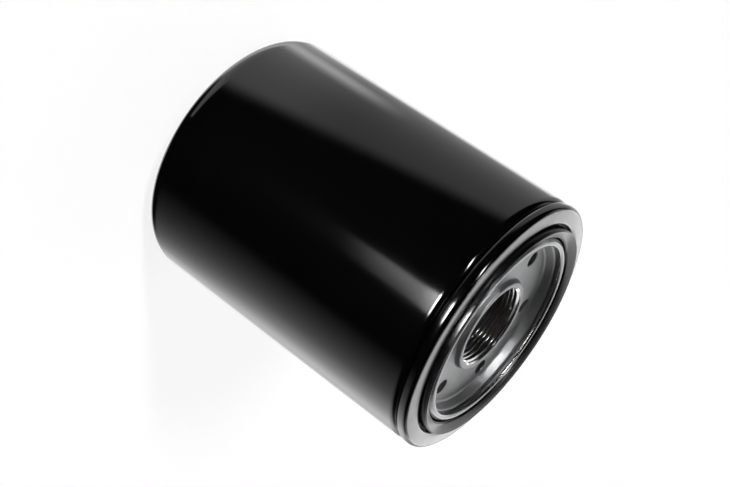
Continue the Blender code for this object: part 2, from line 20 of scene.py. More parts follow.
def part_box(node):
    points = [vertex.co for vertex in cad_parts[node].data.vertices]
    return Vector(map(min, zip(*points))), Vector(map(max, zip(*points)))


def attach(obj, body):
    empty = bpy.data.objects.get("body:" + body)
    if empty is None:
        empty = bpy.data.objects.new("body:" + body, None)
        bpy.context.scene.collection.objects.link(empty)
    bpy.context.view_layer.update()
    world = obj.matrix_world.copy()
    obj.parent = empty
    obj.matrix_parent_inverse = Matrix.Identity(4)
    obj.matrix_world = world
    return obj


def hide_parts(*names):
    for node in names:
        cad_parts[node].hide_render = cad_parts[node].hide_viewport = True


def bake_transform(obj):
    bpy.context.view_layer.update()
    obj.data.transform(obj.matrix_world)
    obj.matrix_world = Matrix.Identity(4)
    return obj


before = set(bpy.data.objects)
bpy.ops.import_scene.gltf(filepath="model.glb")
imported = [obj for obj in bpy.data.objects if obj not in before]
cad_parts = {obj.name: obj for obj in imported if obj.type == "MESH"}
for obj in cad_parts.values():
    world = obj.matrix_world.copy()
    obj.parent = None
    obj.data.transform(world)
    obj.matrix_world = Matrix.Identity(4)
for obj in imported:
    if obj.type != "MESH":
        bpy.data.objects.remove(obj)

LOG = logging.getLogger("oil_filter")
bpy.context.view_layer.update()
UP = Vector((0.0, 0.0, 1.0))
ORIGIN = Vector((0.0, 0.0, 0.0))
MERGE_DISTANCE = 1e-6
LEAST_EDGE = 1e-7

Pair = tuple[float, float]
Colour = tuple[float, float, float]
Corner = tuple[float, ...]

NOISE_RANGE: Pair = (0.3, 0.7)
ENAMEL: Colour = (0.0006, 0.0006, 0.0006)
WHITE = (1.0, 1.0, 1.0, 1.0)


class Body(Enum):
    """The bodies that new pieces ride on."""

    HOUSING = "housing"
    ELEMENT = "element"
    BYPASS_POPPET = "bypass_poppet"


class Slot(Enum):
    """The record's material slots."""

    CAN_PAINT = "can_paint"
    LID_STEEL = "lid_steel"
    PLATE_STEEL = "plate_steel"
    SPRING_STEEL = "spring_steel"
    GASKET_RUBBER = "gasket_rubber"
    VALVE_RUBBER = "valve_rubber"
    FILTER_PAPER = "filter_paper"
    PLASTISOL = "plastisol"
    SEALING_COMPOUND = "sealing_compound"


class Detail(Enum):
    """How many facets a turned shape has round its axis."""

    SHOWN = 192
    INNER = 96
    DRILL = 48


# ---------------------------------------------------------------- meshes


def rounded(corners: Sequence[Corner], closed: bool = False, arc_step: float = 10.0) -> list[Vector]:
    """Draws an outline with an arc at each corner that has a fillet.

    Two fillets that would meet on a side both shrink until they just touch.

    Args:
        corners: (radius, height) or (radius, height, fillet) of each corner.
        closed: whether the last corner joins the first.
        arc_step: the most that one side of an arc may turn, in degrees.

    Returns:
        The outline's points, as (radius, height).
    """
    count = len(corners)
    spots = [Vector(corner[:2]) for corner in corners]
    halves = [math.pi / 2] * count
    reaches = [0.0] * count
    for index, corner in enumerate(corners):
        if len(corner) > 2 and (closed or 0 < index < count - 1):
            before, after = spots[index - 1] - spots[index], spots[(index + 1) % count] - spots[index]
            halves[index] = before.angle(after) / 2
            reaches[index] = corner[2] / math.tan(halves[index])
    limits = [1.0] * count
    for index in range(count if closed else count - 1):
        other = (index + 1) % count
        wanted = reaches[index] + reaches[other]
        side = (spots[other] - spots[index]).length
        if wanted > side:
            limits[index] = min(limits[index], side / wanted)
            limits[other] = min(limits[other], side / wanted)
    points: list[Vector] = []
    for index, here in enumerate(spots):
        reach = reaches[index] * limits[index]
        if reach <= 0.0:
            points.append(here)
            continue
        before = (spots[index - 1] - here).normalized()
        after = (spots[(index + 1) % count] - here).normalized()
        centre = here + (before + after).normalized() * reach / math.cos(halves[index])
        first = (here + before * reach - centre).normalized()
        last = (here + after * reach - centre).normalized()
        radius = reach * math.tan(halves[index])
        steps = max(2, math.ceil(math.degrees(first.angle(last)) / arc_step))
        points += [centre + first.slerp(last, step / steps) * radius for step in range(steps + 1)]
    return points


def turned(outline: Iterable[Vector | Corner], closed: bool, detail: Detail) -> bmesh.types.BMesh:
    """Turns an outline once round the axis.

    Args:
        outline: points as (radius, height).
        closed: whether the last point joins the first.
        detail: the number of facets.

    Returns:
        The surface, whose faces point outwards where it is closed.
    """
    mesh = bmesh.new()
    verts = [mesh.verts.new((point[0], 0.0, point[1])) for point in outline]
    ends = verts[1:] + verts[:1] if closed else verts[1:]
    edges = [mesh.edges.new(pair) for pair in zip(verts, ends)]
    bmesh.ops.spin(
        mesh,
        geom=verts + edges,
        cent=ORIGIN,
        axis=UP,
        angle=math.tau,
        steps=detail.value,
        use_merge=True,
    )
    return healed(mesh)


def healed(mesh: bmesh.types.BMesh) -> bmesh.types.BMesh:
    """Joins doubled vertices, drops faces without area and turns the faces outwards.

    Args:
        mesh: the mesh to mend, in place.

    Returns:
        The same mesh.
    """
    bmesh.ops.remove_doubles(mesh, verts=mesh.verts, dist=MERGE_DISTANCE)
    bmesh.ops.dissolve_degenerate(mesh, edges=mesh.edges, dist=LEAST_EDGE)
    bmesh.ops.recalc_face_normals(mesh, faces=mesh.faces)
    return mesh


def made_object(name: str, mesh: bmesh.types.BMesh) -> bpy.types.Object:
    """Makes an object of a mesh and frees the mesh.

    Args:
        name: the object's name.
        mesh: the mesh, with its place in its vertices.

    Returns:
        The object, at the origin.
    """
    data = bpy.data.meshes.new(name)
    mesh.to_mesh(data)
    mesh.free()
    made = bpy.data.objects.new(name, data)
    bpy.context.scene.collection.objects.link(made)
    return made


def thicken(piece: bpy.types.Object, wall: float) -> None:
    """Gives a sheet its wall, half on each side.

    Args:
        piece: the sheet, at mid wall.
        wall: the wall's thickness.
    """
    solidify = piece.modifiers.new("wall", "SOLIDIFY")
    solidify.thickness = wall
    solidify.offset = 0.0
    solidify.use_even_offset = True


def cut(piece: bpy.types.Object, cutters: Sequence[bpy.types.Object]) -> None:
    """Cuts closed shapes out of a piece, applies its modifiers and removes the cutters.

    Args:
        piece: the piece to cut.
        cutters: closed shapes.
    """
    for cutter in cutters:
        boolean = piece.modifiers.new(cutter.name, "BOOLEAN")
        boolean.operation = "DIFFERENCE"
        boolean.solver = "EXACT"
        boolean.object = cutter
    graph = bpy.context.evaluated_depsgraph_get()
    piece.data = bpy.data.meshes.new_from_object(piece.evaluated_get(graph))
    piece.data.name = piece.name
    piece.modifiers.clear()
    for cutter in cutters:
        bpy.data.objects.remove(cutter)


def shade(piece: bpy.types.Object, sharp_angle: float = 40.0) -> None:
    """Shades a piece smooth, with sharp edges where its faces meet at a larger angle.

    Args:
        piece: the piece.
        sharp_angle: the angle, in degrees.
    """
    piece.data.shade_smooth()
    piece.data.set_sharp_from_angle(angle=math.radians(sharp_angle))


# ---------------------------------------------------------------- finishes


@dataclass
class Graph:
    """A node tree under construction.

    Attributes:
        tree: the node tree.
        mark_stretch: how much a pattern changes along the turning marks, beside across them.
        mark_tilt: how much height counts across the marks, beside the radius.
    """

    tree: bpy.types.NodeTree
    mark_stretch: float = 0.004
    mark_tilt: float = 1.7

    def add(self, kind: str, inputs: dict[Any, Any] | None = None, **settings: Any) -> bpy.types.Node:
        """Adds a node.

        Args:
            kind: the node's type, without its ShaderNode prefix.
            inputs: a value or a socket for each input, by name or number.
            **settings: the node's own settings.

        Returns:
            The node.
        """
        node = self.tree.nodes.new("ShaderNode" + kind)
        for name, value in settings.items():
            setattr(node, name, value)
        for name, value in (inputs or {}).items():
            if isinstance(value, bpy.types.NodeSocket):
                self.tree.links.new(value, node.inputs[name])
            else:
                node.inputs[name].default_value = value
        return node

    def calc(self, operation: str, *values: Any) -> bpy.types.NodeSocket:
        """Adds a Math node and returns its result."""
        return self.add("Math", dict(enumerate(values)), operation=operation).outputs[0]

    def span(
        self,
        value: Any,
        source: Pair,
        target: Pair = (0.0, 1.0),
        curve: str = "SMOOTHSTEP",
    ) -> bpy.types.NodeSocket:
        """Maps one range of a value onto another.

        Args:
            value: the value or socket.
            source: the range that it is read in.
            target: the range that it becomes.
            curve: the Map Range node's interpolation.

        Returns:
            The mapped value's socket.
        """
        inputs = {0: value, 1: source[0], 2: source[1], 3: target[0], 4: target[1]}
        return self.add("MapRange", inputs, interpolation_type=curve).outputs[0]

    def noise(self, place: bpy.types.NodeSocket, scale: float, detail: float = 2.0) -> bpy.types.NodeSocket:
        """Adds a noise pattern.

        Args:
            place: the coordinates.
            scale: cells per unit of the coordinates.
            detail: how many finer layers it has.

        Returns:
            The pattern's value, mostly within NOISE_RANGE.
        """
        inputs = {"Vector": place, "Scale": scale, "Detail": detail}
        return self.add("TexNoise", inputs).outputs["Fac"]

    def mix(self, share: Any, first: Any, second: Any) -> bpy.types.NodeSocket:
        """Mixes two colours.

        Args:
            share: how much of the second colour there is.
            first: a colour or socket.
            second: a colour or socket.

        Returns:
            The mixed colour's socket.
        """
        node = self.add("Mix", data_type="RGBA")
        for index, value in ((0, share), (6, first), (7, second)):
            if isinstance(value, bpy.types.NodeSocket):
                self.tree.links.new(value, node.inputs[index])
            else:
                node.inputs[index].default_value = (*value, 1.0) if index else value
        return node.outputs[2]

    def place(self) -> bpy.types.NodeSocket:
        """Object coordinates."""
        return self.add("TexCoord").outputs["Object"]

    def polar(self) -> tuple[bpy.types.NodeSocket, bpy.types.NodeSocket]:
        """Coordinates for patterns that follow the turning of a piece.

        Returns:
            The distance from the axis, and a vector that runs quickly across the turning marks and
            slowly along them.
        """
        split = self.add("SeparateXYZ", {0: self.place()}).outputs
        flat = self.add("CombineXYZ", {0: split[0], 1: split[1]}).outputs[0]
        radius = self.add("VectorMath", {0: flat}, operation="LENGTH").outputs["Value"]
        unit = self.add("VectorMath", {0: flat}, operation="NORMALIZE").outputs[0]
        slow = self.add("VectorMath", {0: unit, 3: self.mark_stretch}, operation="SCALE").outputs[0]
        across = self.calc("ADD", radius, self.calc("MULTIPLY", split[2], self.mark_tilt))
        lift = self.add("CombineXYZ", {2: across}).outputs[0]
        return radius, self.add("VectorMath", {0: slow, 1: lift}, operation="ADD").outputs[0]

    def bump(self, height: bpy.types.NodeSocket, depth: float) -> bpy.types.NodeSocket:
        """Turns a pattern into relief.

        Args:
            height: the pattern.
            depth: how far apart its 0 and 1 lie.

        Returns:
            The normal's socket.
        """
        return self.add("Bump", {"Height": height, "Strength": 1.0, "Distance": depth}).outputs[0]


@dataclass(frozen=True)
class Finish:
    """A surface finish. Each kind dresses the shader in its own way."""

    slot: Slot
    colour: Colour
    roughness: float

    def material(self) -> bpy.types.Material:
        """Makes the material with its node tree.

        Returns:
            The material, dressed.
        """
        made = bpy.data.materials.new(self.slot.value)
        made.use_nodes = True
        made.diffuse_color = (*self.colour, 1.0)
        shader = made.node_tree.nodes["Principled BSDF"]
        shader.inputs["Base Color"].default_value = (*self.colour, 1.0)
        shader.inputs["Roughness"].default_value = self.roughness
        self.dress(Graph(made.node_tree), shader)
        return made

    def dress(self, graph: Graph, shader: bpy.types.Node) -> None:
        """Adds the finish's own pattern.

        Args:
            graph: the material's nodes.
            shader: its Principled BSDF.
        """
        raise NotImplementedError

    def link(self, graph: Graph, shader: bpy.types.Node, **sockets: bpy.types.NodeSocket) -> None:
        """Links sockets to the shader.

        Args:
            graph: the material's nodes.
            shader: its Principled BSDF.
            **sockets: the sockets, by the input's name with _ for a space.
        """
        for name, socket in sockets.items():
            graph.tree.links.new(socket, shader.inputs[name.replace("_", " ")])

    def gloss(self, graph: Graph, pattern: bpy.types.NodeSocket, spread: Pair) -> bpy.types.NodeSocket:
        """Varies the roughness with a pattern.

        Args:
            graph: the material's nodes.
            pattern: the pattern, mostly within NOISE_RANGE.
            spread: the factors on the roughness at the two ends of that range.

        Returns:
            The roughness's socket.
        """
        low, high = spread
        return graph.span(pattern, NOISE_RANGE, (self.roughness * low, self.roughness * high), "LINEAR")


@dataclass(frozen=True)
class GlossPaint(Finish):
    """Stoved enamel with a slight orange peel and a few dust nibs."""

    peel_size: float = 0.0035
    peel_depth: float = 0.0000035
    haze_scale: float = 45.0
    haze_gloss: Pair = (0.85, 1.2)
    nib_scale: float = 75.0
    nib_rarity: float = 0.93
    nib_edge: Pair = (0.03, 0.012)
    nib_colour: Colour = (0.16, 0.16, 0.16)
    nib_height: float = 4.0

    def dress(self, graph: Graph, shader: bpy.types.Node) -> None:
        """Adds orange peel, uneven gloss and dust nibs.

        Args:
            graph: the material's nodes.
            shader: its Principled BSDF.
        """
        place = graph.place()
        peel = graph.noise(place, 1.0 / self.peel_size)
        haze = graph.noise(place, self.haze_scale, 4.0)
        roughness = self.gloss(graph, haze, self.haze_gloss)
        nib = graph.add("TexVoronoi", {"Vector": place, "Scale": self.nib_scale}).outputs
        chance = graph.add("SeparateColor", {0: nib["Color"]}).outputs[0]
        rare = graph.calc("GREATER_THAN", chance, self.nib_rarity)
        dot = graph.calc("MULTIPLY", rare, graph.span(nib["Distance"], self.nib_edge))
        colour = graph.mix(dot, self.colour, self.nib_colour)
        height = graph.calc("ADD", peel, graph.calc("MULTIPLY", dot, self.nib_height))
        relief = graph.bump(height, self.peel_depth)
        self.link(graph, shader, Base_Color=colour, Roughness=roughness, Normal=relief)


@dataclass(frozen=True)
class TurnedSteel(Finish):
    """Bare or plated steel with fine marks that run round the axis, and a mottled tone."""

    mark_size: float = 0.00025
    mark_depth: float = 0.0000015
    mottle: float = 0.12
    cloud_scale: float = 160.0
    stain_scale: float = 38.0
    tone_range: Pair = (0.7, 1.3)
    mark_gloss: Pair = (0.8, 1.2)
    paint_from: float | None = None
    paint: Colour = ENAMEL
    paint_roughness: float = 0.1
    paint_edge: float = 0.0001
    paint_ragged: float = 0.00012
    cut_within: float | None = None
    cut_roughness: float = 0.14
    cut_colour: Colour = (0.85, 0.85, 0.86)
    cut_edge: float = 0.0002

    def dress(self, graph: Graph, shader: bpy.types.Node) -> None:
        """Adds marks and mottling, fresh cut metal, and the can's paint where it laps onto the piece.

        Args:
            graph: the material's nodes.
            shader: its Principled BSDF.
        """
        radius, along = graph.polar()
        place = graph.place()
        marks = graph.noise(along, 1.0 / self.mark_size, 3.0)
        cloud = graph.noise(place, self.cloud_scale, 4.0)
        stain = graph.noise(place, self.stain_scale, 3.0)
        tone = graph.span(graph.calc("ADD", cloud, stain), self.tone_range, curve="LINEAR")
        dark = tuple(channel * (1.0 - self.mottle) for channel in self.colour)
        light = tuple(min(1.0, channel * (1.0 + self.mottle / 2)) for channel in self.colour)
        colour = graph.mix(tone, dark, light)
        wear = graph.calc("ADD", graph.calc("MULTIPLY", marks, 0.5), graph.calc("MULTIPLY", cloud, 0.5))
        roughness = self.gloss(graph, wear, self.mark_gloss)
        if self.cut_within is not None:
            fresh = graph.span(radius, (self.cut_within + self.cut_edge, self.cut_within))
            worn = graph.calc("MULTIPLY", roughness, graph.calc("SUBTRACT", 1.0, fresh))
            roughness = graph.calc("MULTIPLY_ADD", fresh, self.cut_roughness, worn)
            colour = graph.mix(fresh, colour, self.cut_colour)
        metallic: Any = 1.0
        if self.paint_from is not None:
            edge = graph.calc("ADD", radius, graph.calc("MULTIPLY", cloud, self.paint_ragged))
            painted = graph.span(edge, (self.paint_from, self.paint_from + self.paint_edge))
            colour = graph.mix(painted, colour, self.paint)
            metallic = graph.calc("SUBTRACT", 1.0, painted)
            bare = graph.calc("MULTIPLY", metallic, roughness)
            roughness = graph.calc("ADD", bare, graph.calc("MULTIPLY", painted, self.paint_roughness))
            self.link(graph, shader, Metallic=metallic)
        else:
            shader.inputs["Metallic"].default_value = metallic
        relief = graph.bump(marks, self.mark_depth)
        self.link(graph, shader, Base_Color=colour, Roughness=roughness, Normal=relief)


@dataclass(frozen=True)
class MouldedRubber(Finish):
    """Black nitrile rubber with a fine grain and a little bloom."""

    grain: float = 0.0003
    grain_depth: float = 0.000004
    bloom: Colour = (0.008, 0.008, 0.0085)
    bloom_range: Pair = (0.45, 0.75)
    cloud_scale: float = 120.0
    cloud_gloss: Pair = (0.9, 1.15)
    index: float = 1.62

    def dress(self, graph: Graph, shader: bpy.types.Node) -> None:
        """Adds the grain and the bloom.

        Args:
            graph: the material's nodes.
            shader: its Principled BSDF.
        """
        shader.inputs["IOR"].default_value = self.index
        place = graph.place()
        grain = graph.noise(place, 1.0 / self.grain, 3.0)
        cloud = graph.noise(place, self.cloud_scale, 4.0)
        colour = graph.mix(graph.span(cloud, self.bloom_range), self.colour, self.bloom)
        roughness = self.gloss(graph, cloud, self.cloud_gloss)
        relief = graph.bump(grain, self.grain_depth)
        self.link(graph, shader, Base_Color=colour, Roughness=roughness, Normal=relief)


@dataclass(frozen=True)
class FilterPaper(Finish):
    """Resin-treated paper with short fibres."""

    fibre: Colour = (0.86, 0.72, 0.46)
    fibre_scale: float = 2600.0
    fibre_stretch: tuple[float, float, float] = (1.0, 1.0, 0.25)
    fibre_range: Pair = (0.5, 0.7)
    fibre_share: float = 0.6
    fibre_depth: float = 0.00003
    blotch_scale: float = 220.0
    blotch_range: Pair = (0.6, 0.35)
    blotch_tone: float = 0.8

    def dress(self, graph: Graph, shader: bpy.types.Node) -> None:
        """Adds fibres and a blotchy tone.

        Args:
            graph: the material's nodes.
            shader: its Principled BSDF.
        """
        place = graph.place()
        stretch = graph.add("Mapping", {"Vector": place, "Scale": self.fibre_stretch}).outputs[0]
        fibres = graph.noise(stretch, self.fibre_scale, 5.0)
        blotch = graph.noise(place, self.blotch_scale, 3.0)
        pale = graph.calc("MULTIPLY", graph.span(fibres, self.fibre_range), self.fibre_share)
        colour = graph.mix(pale, self.colour, self.fibre)
        dark = tuple(channel * self.blotch_tone for channel in self.colour)
        colour = graph.mix(graph.span(blotch, self.blotch_range), colour, dark)
        self.link(graph, shader, Base_Color=colour, Normal=graph.bump(fibres, self.fibre_depth))


@dataclass(frozen=True)
class CastPolymer(Finish):
    """Cured plastisol or sealing compound, with small pits and a soft sheen."""

    pit_size: float = 0.0008
    pit_depth: float = 0.00006
    pit_gloss: Pair = (0.85, 1.15)
    cloud_scale: float = 90.0
    cloud_range: Pair = (0.35, 0.65)
    cloud_tone: float = 0.72

    def dress(self, graph: Graph, shader: bpy.types.Node) -> None:
        """Adds pits and a cloudy tone.

        Args:
            graph: the material's nodes.
            shader: its Principled BSDF.
        """
        place = graph.place()
        pits = graph.noise(place, 1.0 / self.pit_size, 4.0)
        cloud = graph.noise(place, self.cloud_scale, 3.0)
        dark = tuple(channel * self.cloud_tone for channel in self.colour)
        colour = graph.mix(graph.span(cloud, self.cloud_range), dark, self.colour)
        roughness = self.gloss(graph, pits, self.pit_gloss)
        relief = graph.bump(pits, self.pit_depth)
        self.link(graph, shader, Base_Color=colour, Roughness=roughness, Normal=relief)


FINISHES: tuple[Finish, ...] = (
    GlossPaint(Slot.CAN_PAINT, ENAMEL, 0.08),
    TurnedSteel(Slot.LID_STEEL, (0.35, 0.35, 0.355), 0.24, paint_from=0.0455),
    TurnedSteel(Slot.PLATE_STEEL, (0.42, 0.424, 0.43), 0.46, mottle=0.2, cut_within=0.0149),
    TurnedSteel(Slot.SPRING_STEEL, (0.22, 0.22, 0.23), 0.34),
    MouldedRubber(Slot.GASKET_RUBBER, (0.002, 0.002, 0.0022), 0.2),
    MouldedRubber(Slot.VALVE_RUBBER, (0.02, 0.02, 0.021), 0.50),
    FilterPaper(Slot.FILTER_PAPER, (0.70, 0.52, 0.24), 0.85),
    CastPolymer(Slot.PLASTISOL, (0.62, 0.27, 0.14), 0.55),
    CastPolymer(Slot.SEALING_COMPOUND, (0.10, 0.10, 0.11), 0.60),
)


@dataclass
class Workshop:
    """Dresses finished shapes and fits them to the frame."""

    materials: dict[Slot, bpy.types.Material] = field(default_factory=dict)

    def __post_init__(self) -> None:
        """Makes every finish's material."""
        for finish in FINISHES:
            self.materials[finish.slot] = finish.material()

    def fit(self, piece: bpy.types.Object, body: Body, slot: Slot, node: str) -> None:
        """Dresses a piece and puts it in the place of a CAD node.

        Args:
            piece: the piece, in its place.
            body: the body that it rides on.
            slot: its finish.
            node: the node that it stands for.
        """
        self.dress(piece, slot)
        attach(piece, body.value)
        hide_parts(node)
        self.report(piece, node)

    def stretch(
        self,
        piece: bpy.types.Object,
        bodies: tuple[Body, Body],
        reach: Pair,
        slot: Slot,
        node: str,
    ) -> None:
        """Dresses a spring, bakes its place into its mesh and stands it in for its node, without tying it
        to any body.

        Args:
            piece: the spring, in its place.
            bodies: the bodies under and over it; not used.
            reach: the heights of its two ends; not used.
            slot: its finish.
            node: the node that it stands for.
        """
        self.dress(piece, slot)
        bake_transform(piece)
        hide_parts(node)
        self.report(piece, node)

    def dress(self, piece: bpy.types.Object, slot: Slot) -> None:
        """Gives a piece its finish and its shading.

        Args:
            piece: the piece.
            slot: its finish.
        """
        piece.data.materials.clear()
        piece.data.materials.append(self.materials[slot])
        shade(piece)

    def dress_node(self, node: str, slot: Slot) -> None:
        """Gives a CAD node that stays its finish.

        Args:
            node: the node's name.
            slot: its finish.
        """
        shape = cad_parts[node]
        for index in range(len(shape.material_slots)):
            shape.material_slots[index].material = self.materials[slot]
        LOG.info("%s: kept, %s", node, slot.value)

    def report(self, piece: bpy.types.Object, node: str) -> None:
        """Logs a piece's size beside its node's.

        Args:
            piece: the piece.
            node: the node that it stands for.
        """
        graph = bpy.context.evaluated_depsgraph_get()
        corners = [Vector(corner) for corner in piece.evaluated_get(graph).bound_box]
        low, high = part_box(node)
        excess = max(
            max(max(low[axis] - corner[axis], corner[axis] - high[axis]) for corner in corners)
            for axis in range(3)
        )
        triangles = len(piece.evaluated_get(graph).data.loop_triangles)
        LOG.info("%s: %d triangles, %+.3f mm past its node", piece.name, triangles, excess * 1000)


# ---------------------------------------------------------------- the filter


@dataclass
class Housing:
    """The painted can, the lid seamed onto it and the compound between them."""

    radius: float = 0.0465
    height: float = 0.1183
    can_wall: float = 0.0006
    dome_fillet: float = 0.0074
    shoulder_fillet: float = 0.0029
    seam_inset: float = 0.00001
    seam_drop: float = 0.0002
    seam_rise: float = 0.0004
    seam_fillet: float = 0.0015
    seam_height: float = 0.0040
    lid_wall: float = 0.0007
    gap: float = 0.0003
    sealant_width: float = 0.00164
    sealant_fillet: float = 0.000328
    fold_fillet: float = 0.0006
    channel_edge_fillet: float = 0.0008
    channel_depth: float = 0.0042
    channel_width: float = 0.0055
    lip_proud: float = 0.0008
    lip_width: float = 0.0021
    lip_crest: float = 0.0011
    lip_drop: float = 0.0014

    def __post_init__(self) -> None:
        """Works out the mid-wall radii and heights of the seam, from the outside in."""
        self.seam_mid = self.radius - self.seam_inset - self.lid_wall / 2
        self.hook_mid = self.seam_mid - self.lid_wall / 2 - self.gap - self.can_wall / 2
        self.cover_mid = self.hook_mid - self.can_wall / 2 - self.gap - self.lid_wall / 2
        self.neck_mid = self.cover_mid - self.lid_wall / 2 - self.gap - self.can_wall / 2
        self.sealant_outer = self.neck_mid - self.can_wall / 2 - self.gap
        self.sealant_inner = self.sealant_outer - self.sealant_width
        self.channel_outer = self.sealant_inner - self.gap - self.lid_wall / 2
        self.channel_inner = self.channel_outer - self.channel_width
        self.lip_inner = self.channel_inner - self.lip_width
        self.channel_floor = self.height - self.channel_depth
        self.seam_foot = self.height - self.seam_height
        self.seam_top = self.height - self.seam_drop
        self.flange = self.seam_top - self.lid_wall - self.gap - self.can_wall / 2

    def make_can(self) -> bpy.types.Object:
        """The deep-drawn can, from the middle of the closed end to its hook in the seam.

        Returns:
            The can at mid wall, with its wall as a modifier.
        """
        half = self.can_wall / 2
        wall_mid = self.radius - half
        shoulder = self.seam_foot - self.gap - half
        path = rounded(
            [
                (0.0, half),
                (wall_mid, half, self.dome_fillet - half),
                (wall_mid, self.height / 2),
                (wall_mid, shoulder, self.shoulder_fillet - half),
                (self.neck_mid, shoulder, self.fold_fillet),
                (self.neck_mid, self.flange, self.fold_fillet),
                (self.hook_mid, self.flange, self.fold_fillet),
                (self.hook_mid, self.seam_foot + self.lid_wall + self.gap),
            ],
            arc_step=6.0,
        )
        can = made_object("painted_can", turned(path, False, Detail.SHOWN))
        thicken(can, self.can_wall)
        return can

    def make_lid(self) -> bpy.types.Object:
        """The seaming lid: inner curl, gasket channel, seam top and cover hook.

        Returns:
            The lid at mid wall, with its wall as a modifier.
        """
        half = self.lid_wall / 2
        curl = self.height + self.lip_proud - half
        floor = self.channel_floor - half
        top = self.seam_top - half
        foot = self.seam_foot + half
        path = rounded(
            [
                (self.lip_inner, self.height - self.lip_drop),
                (self.lip_inner, curl, self.lip_crest / 2),
                (self.lip_inner + self.lip_crest, curl, self.lip_crest / 2),
                (self.channel_inner, curl - self.lip_width + self.lip_crest, self.fold_fillet),
                (self.channel_inner, floor, self.fold_fillet),
                (self.channel_outer, floor, self.fold_fillet),
                (self.channel_outer, top + self.seam_rise, self.channel_edge_fillet),
                (self.seam_mid, top, self.seam_fillet),
                (self.seam_mid, foot, self.fold_fillet),
                (self.cover_mid, foot, self.fold_fillet),
                (self.cover_mid, self.flange - self.can_wall / 2 - self.gap),
            ],
            arc_step=9.0,
        )
        lid = made_object("seamed_lid", turned(path, False, Detail.SHOWN))
        thicken(lid, self.lid_wall)
        return lid

    def make_sealant(self) -> bpy.types.Object:
        """The ring of compound between the lid and the can's neck.

        Returns:
            The ring.
        """
        top = self.seam_top - self.lid_wall - self.channel_edge_fillet
        edge = self.sealant_fillet
        path = rounded(
            [
                (self.sealant_inner, top, edge),
                (self.sealant_outer, top, edge),
                (self.sealant_outer, self.channel_floor, edge),
                (self.sealant_inner, self.channel_floor, edge),
            ],
            closed=True,
            arc_step=30.0,
        )
        return made_object("compound_ring", turned(path, True, Detail.INNER))

    def build(self, shop: Workshop) -> None:
        """Makes the housing's pieces and fits them.

        Args:
            shop: the workshop.
        """
        shop.fit(self.make_can(), Body.HOUSING, Slot.CAN_PAINT, "can_shell")
        shop.fit(self.make_lid(), Body.HOUSING, Slot.LID_STEEL, "seaming_lid")
        shop.fit(self.make_sealant(), Body.HOUSING, Slot.SEALING_COMPOUND, "seam_sealant")


@dataclass
class Gasket:
    """The sealing gasket, with a crowned top and a narrow land at its crest."""

    housing: Housing
    width: float = 0.0041
    proud: float = 0.0021
    crest_inset: float = 0.0004
    land: float = 0.0002
    outer_inset: float = 0.0004
    foot_fillet: float = 0.0006

    def build(self, shop: Workshop) -> None:
        """Makes the gasket and fits it.

        Args:
            shop: the workshop.
        """
        house = self.housing
        middle = (house.channel_outer + house.channel_inner) / 2
        outer, inner = middle + self.width / 2 - self.outer_inset, middle - self.width / 2
        foot = house.channel_floor + house.gap
        crest = house.height + self.proud
        land_outer = outer - self.crest_inset + self.land / 2
        land_inner = land_outer - self.land
        rise, run = outer - land_outer, land_inner - inner
        path = rounded(
            [
                (land_inner, crest),
                (land_outer, crest, rise / 2),
                (outer, crest - rise, rise),
                (outer, foot, self.foot_fillet),
                (inner, foot, self.foot_fillet),
                (inner, crest - run / 2, run / 2),
            ],
            closed=True,
            arc_step=8.0,
        )
        ring = made_object("gasket_ring", turned(path, True, Detail.SHOWN))
        shop.fit(ring, Body.HOUSING, Slot.GASKET_RUBBER, "sealing_gasket")


